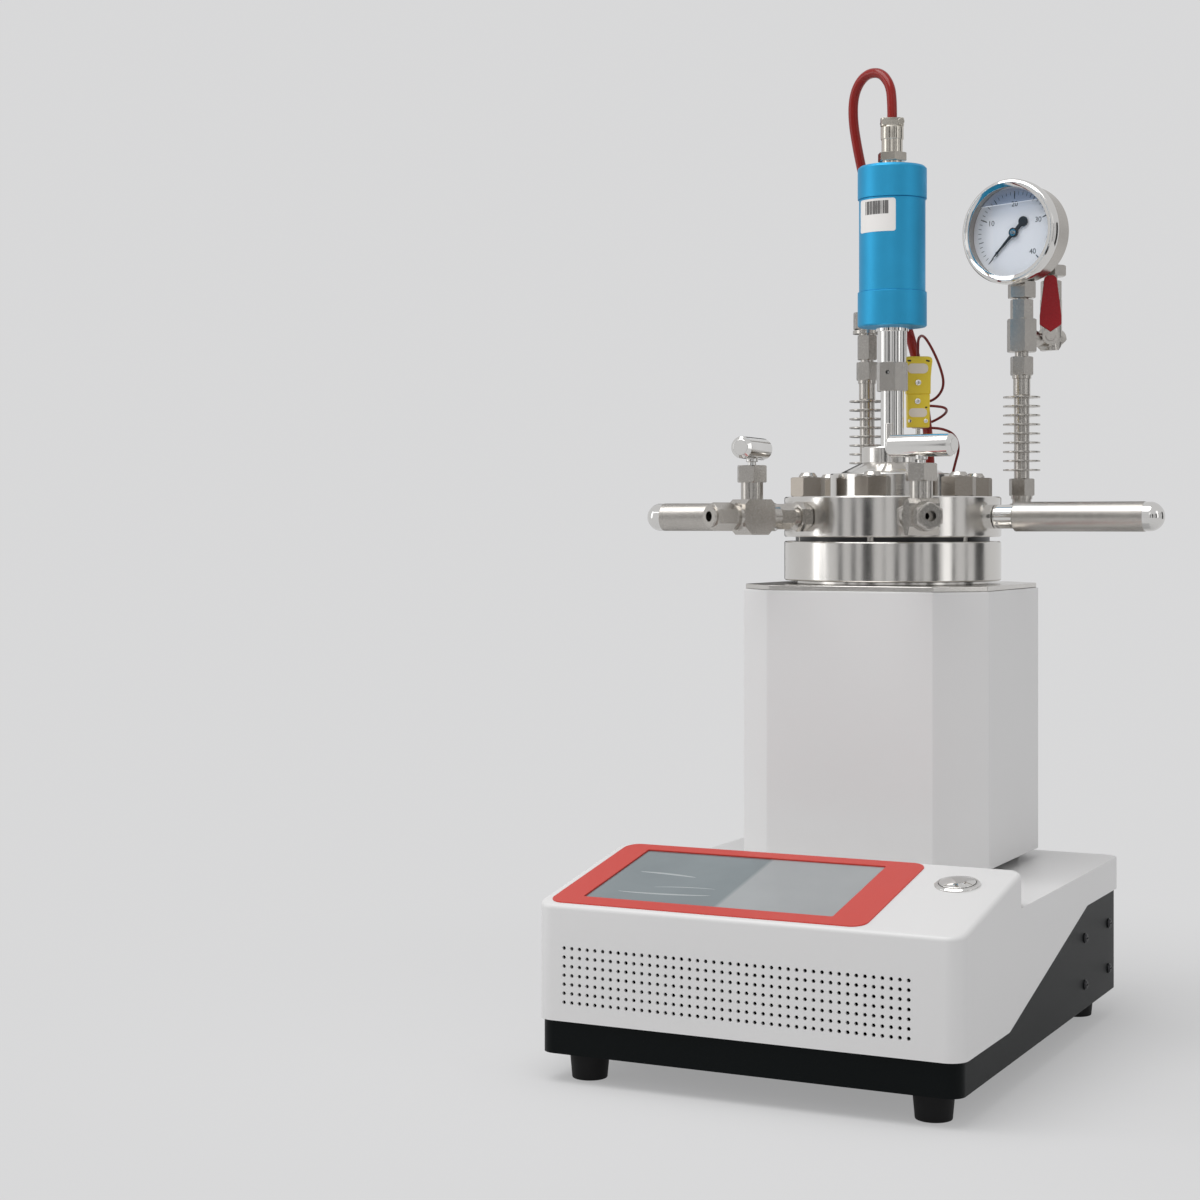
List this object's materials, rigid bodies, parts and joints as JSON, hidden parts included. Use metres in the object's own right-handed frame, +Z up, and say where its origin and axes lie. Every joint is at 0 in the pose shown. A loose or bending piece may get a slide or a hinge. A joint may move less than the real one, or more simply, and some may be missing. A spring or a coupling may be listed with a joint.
{
  "type": "high pressure reactor",
  "caption": "Stirred high pressure reactor: flanged steel vessel in an octagonal heater on a touch-screen base, with gauge, needle valves and motor.",
  "frame": {"origin": "middle of the footprint on the floor, under the feet, measured without the cords", "axes": "+Z up, +X to the operator's right along the console's front, +Y from the console to the rear panel"},
  "size_m": [0.3578, 0.4066, 0.6245],
  "materials": {
    "white_paint": "fine textured powder coat",
    "black_paint": "fine textured powder coat",
    "grey_paint": "matt",
    "red_bezel": "satin gloss",
    "screen": "glossy under a protective film",
    "polished_steel": "polished",
    "turned_steel": "turned and polished",
    "satin_steel": "satin",
    "black_rubber": "matt",
    "blue_anodised": "satin anodised",
    "yellow_plastic": "moulded",
    "red_vinyl": "dipped vinyl",
    "cable_silicone": "glossy silicone",
    "lead_jacket": "satin",
    "dial_face": "matt print ground",
    "dial_black": "matt",
    "clear_glass": "clear",
    "graphite": "satin graphite",
    "mineral_wool": "fibrous",
    "block_aluminium": "machined",
    "black_plastic": "moulded"
  },
  "bodies": {
    "root": {"base_tray": "black_paint", "base_cover": "white_paint", "rear_panel": "black_paint", "mains_inlet": "black_plastic", "cable_glands": "black_plastic", "rubber_feet": "black_rubber", "screen_bezel": "red_bezel", "touch_screen": "screen", "power_button_ring": "polished_steel", "side_screws": "satin_steel", "heater_plinth": "grey_paint", "heater_shell": "white_paint", "heater_top_plate": "turned_steel", "heating_block": "block_aluminium", "insulation_sleeve": "mineral_wool", "vessel": "turned_steel", "lid_gasket": "graphite", "lid": "turned_steel", "lid_studs": "satin_steel", "lid_nuts": "satin_steel", "left_handle": "satin_steel", "right_handle": "satin_steel", "drive_base": "polished_steel", "drive_tube": "polished_steel", "clamp_collar": "satin_steel", "drive_sleeve": "polished_steel", "motor_housing": "blue_anodised", "motor_caps": "blue_anodised", "motor_socket": "polished_steel", "cable_plug": "polished_steel", "port_adapters": "satin_steel", "valve_bodies": "satin_steel", "valve_bonnets": "satin_steel", "valve_nuts": "satin_steel", "port_elbows": "satin_steel", "stack_nuts": "satin_steel", "gauge_finned_tube": "satin_steel", "relief_finned_tube": "satin_steel", "tee_fitting": "satin_steel", "gauge_case": "polished_steel", "gauge_ring": "polished_steel", "gauge_window": "clear_glass", "gauge_dial": "dial_face", "vent_valve_body": "satin_steel", "vent_outlet": "satin_steel", "relief_head": "satin_steel", "probe_sheath": "satin_steel", "probe_socket": "yellow_plastic", "probe_plug": "yellow_plastic", "motor_cable": "cable_silicone", "probe_lead": "lead_jacket"},
    "stirrer": {"stirrer_shaft": "polished_steel", "stirrer_impeller": "satin_steel"},
    "pointer": {"gauge_pointer": "dial_black"},
    "lever": {"vent_lever": "satin_steel", "lever_sleeve": "red_vinyl"},
    "left_t_handle": {"left_valve_handle": "polished_steel"},
    "front_t_handle": {"front_valve_handle": "polished_steel"},
    "power_button": {"power_button_cap": "polished_steel"}
  },
  "joints": [
    {"name": "stirrer_spin", "type": "hinge", "parent": "root", "child": "stirrer", "pos_m": [0, 0.0635, 0.3], "axis": [0, 0, 1], "continuous": true},
    {"name": "pointer_turn", "type": "hinge", "parent": "root", "child": "pointer", "pos_m": [0.05928, 0.15912, 0.5205], "axis": [0.225, 0.9744, 0], "range_deg": [0, 270], "stiffness_Nm_per_rad": 0.0004},
    {"name": "lever_turn", "type": "hinge", "parent": "root", "child": "lever", "pos_m": [0.07335, 0.18181, 0.451], "axis": [-0.2419, 0.9703, 0], "range_deg": [0, 90]},
    {"name": "left_t_handle_turn", "type": "hinge", "parent": "root", "child": "left_t_handle", "pos_m": [-0.05928, -0.03211, 0.37], "axis": [0, 0, 1], "range_deg": [0, 720]},
    {"name": "front_t_handle_turn", "type": "hinge", "parent": "root", "child": "front_t_handle", "pos_m": [0.05316, -0.03564, 0.37], "axis": [0, 0, 1], "range_deg": [0, 720]},
    {"name": "power_button_press", "type": "slide", "parent": "root", "child": "power_button", "axis": [0, 0.1756, -0.9845], "range_m": [0, 0.0015], "stiffness_N_per_m": 800, "springref_m": -0.002}
  ]
}
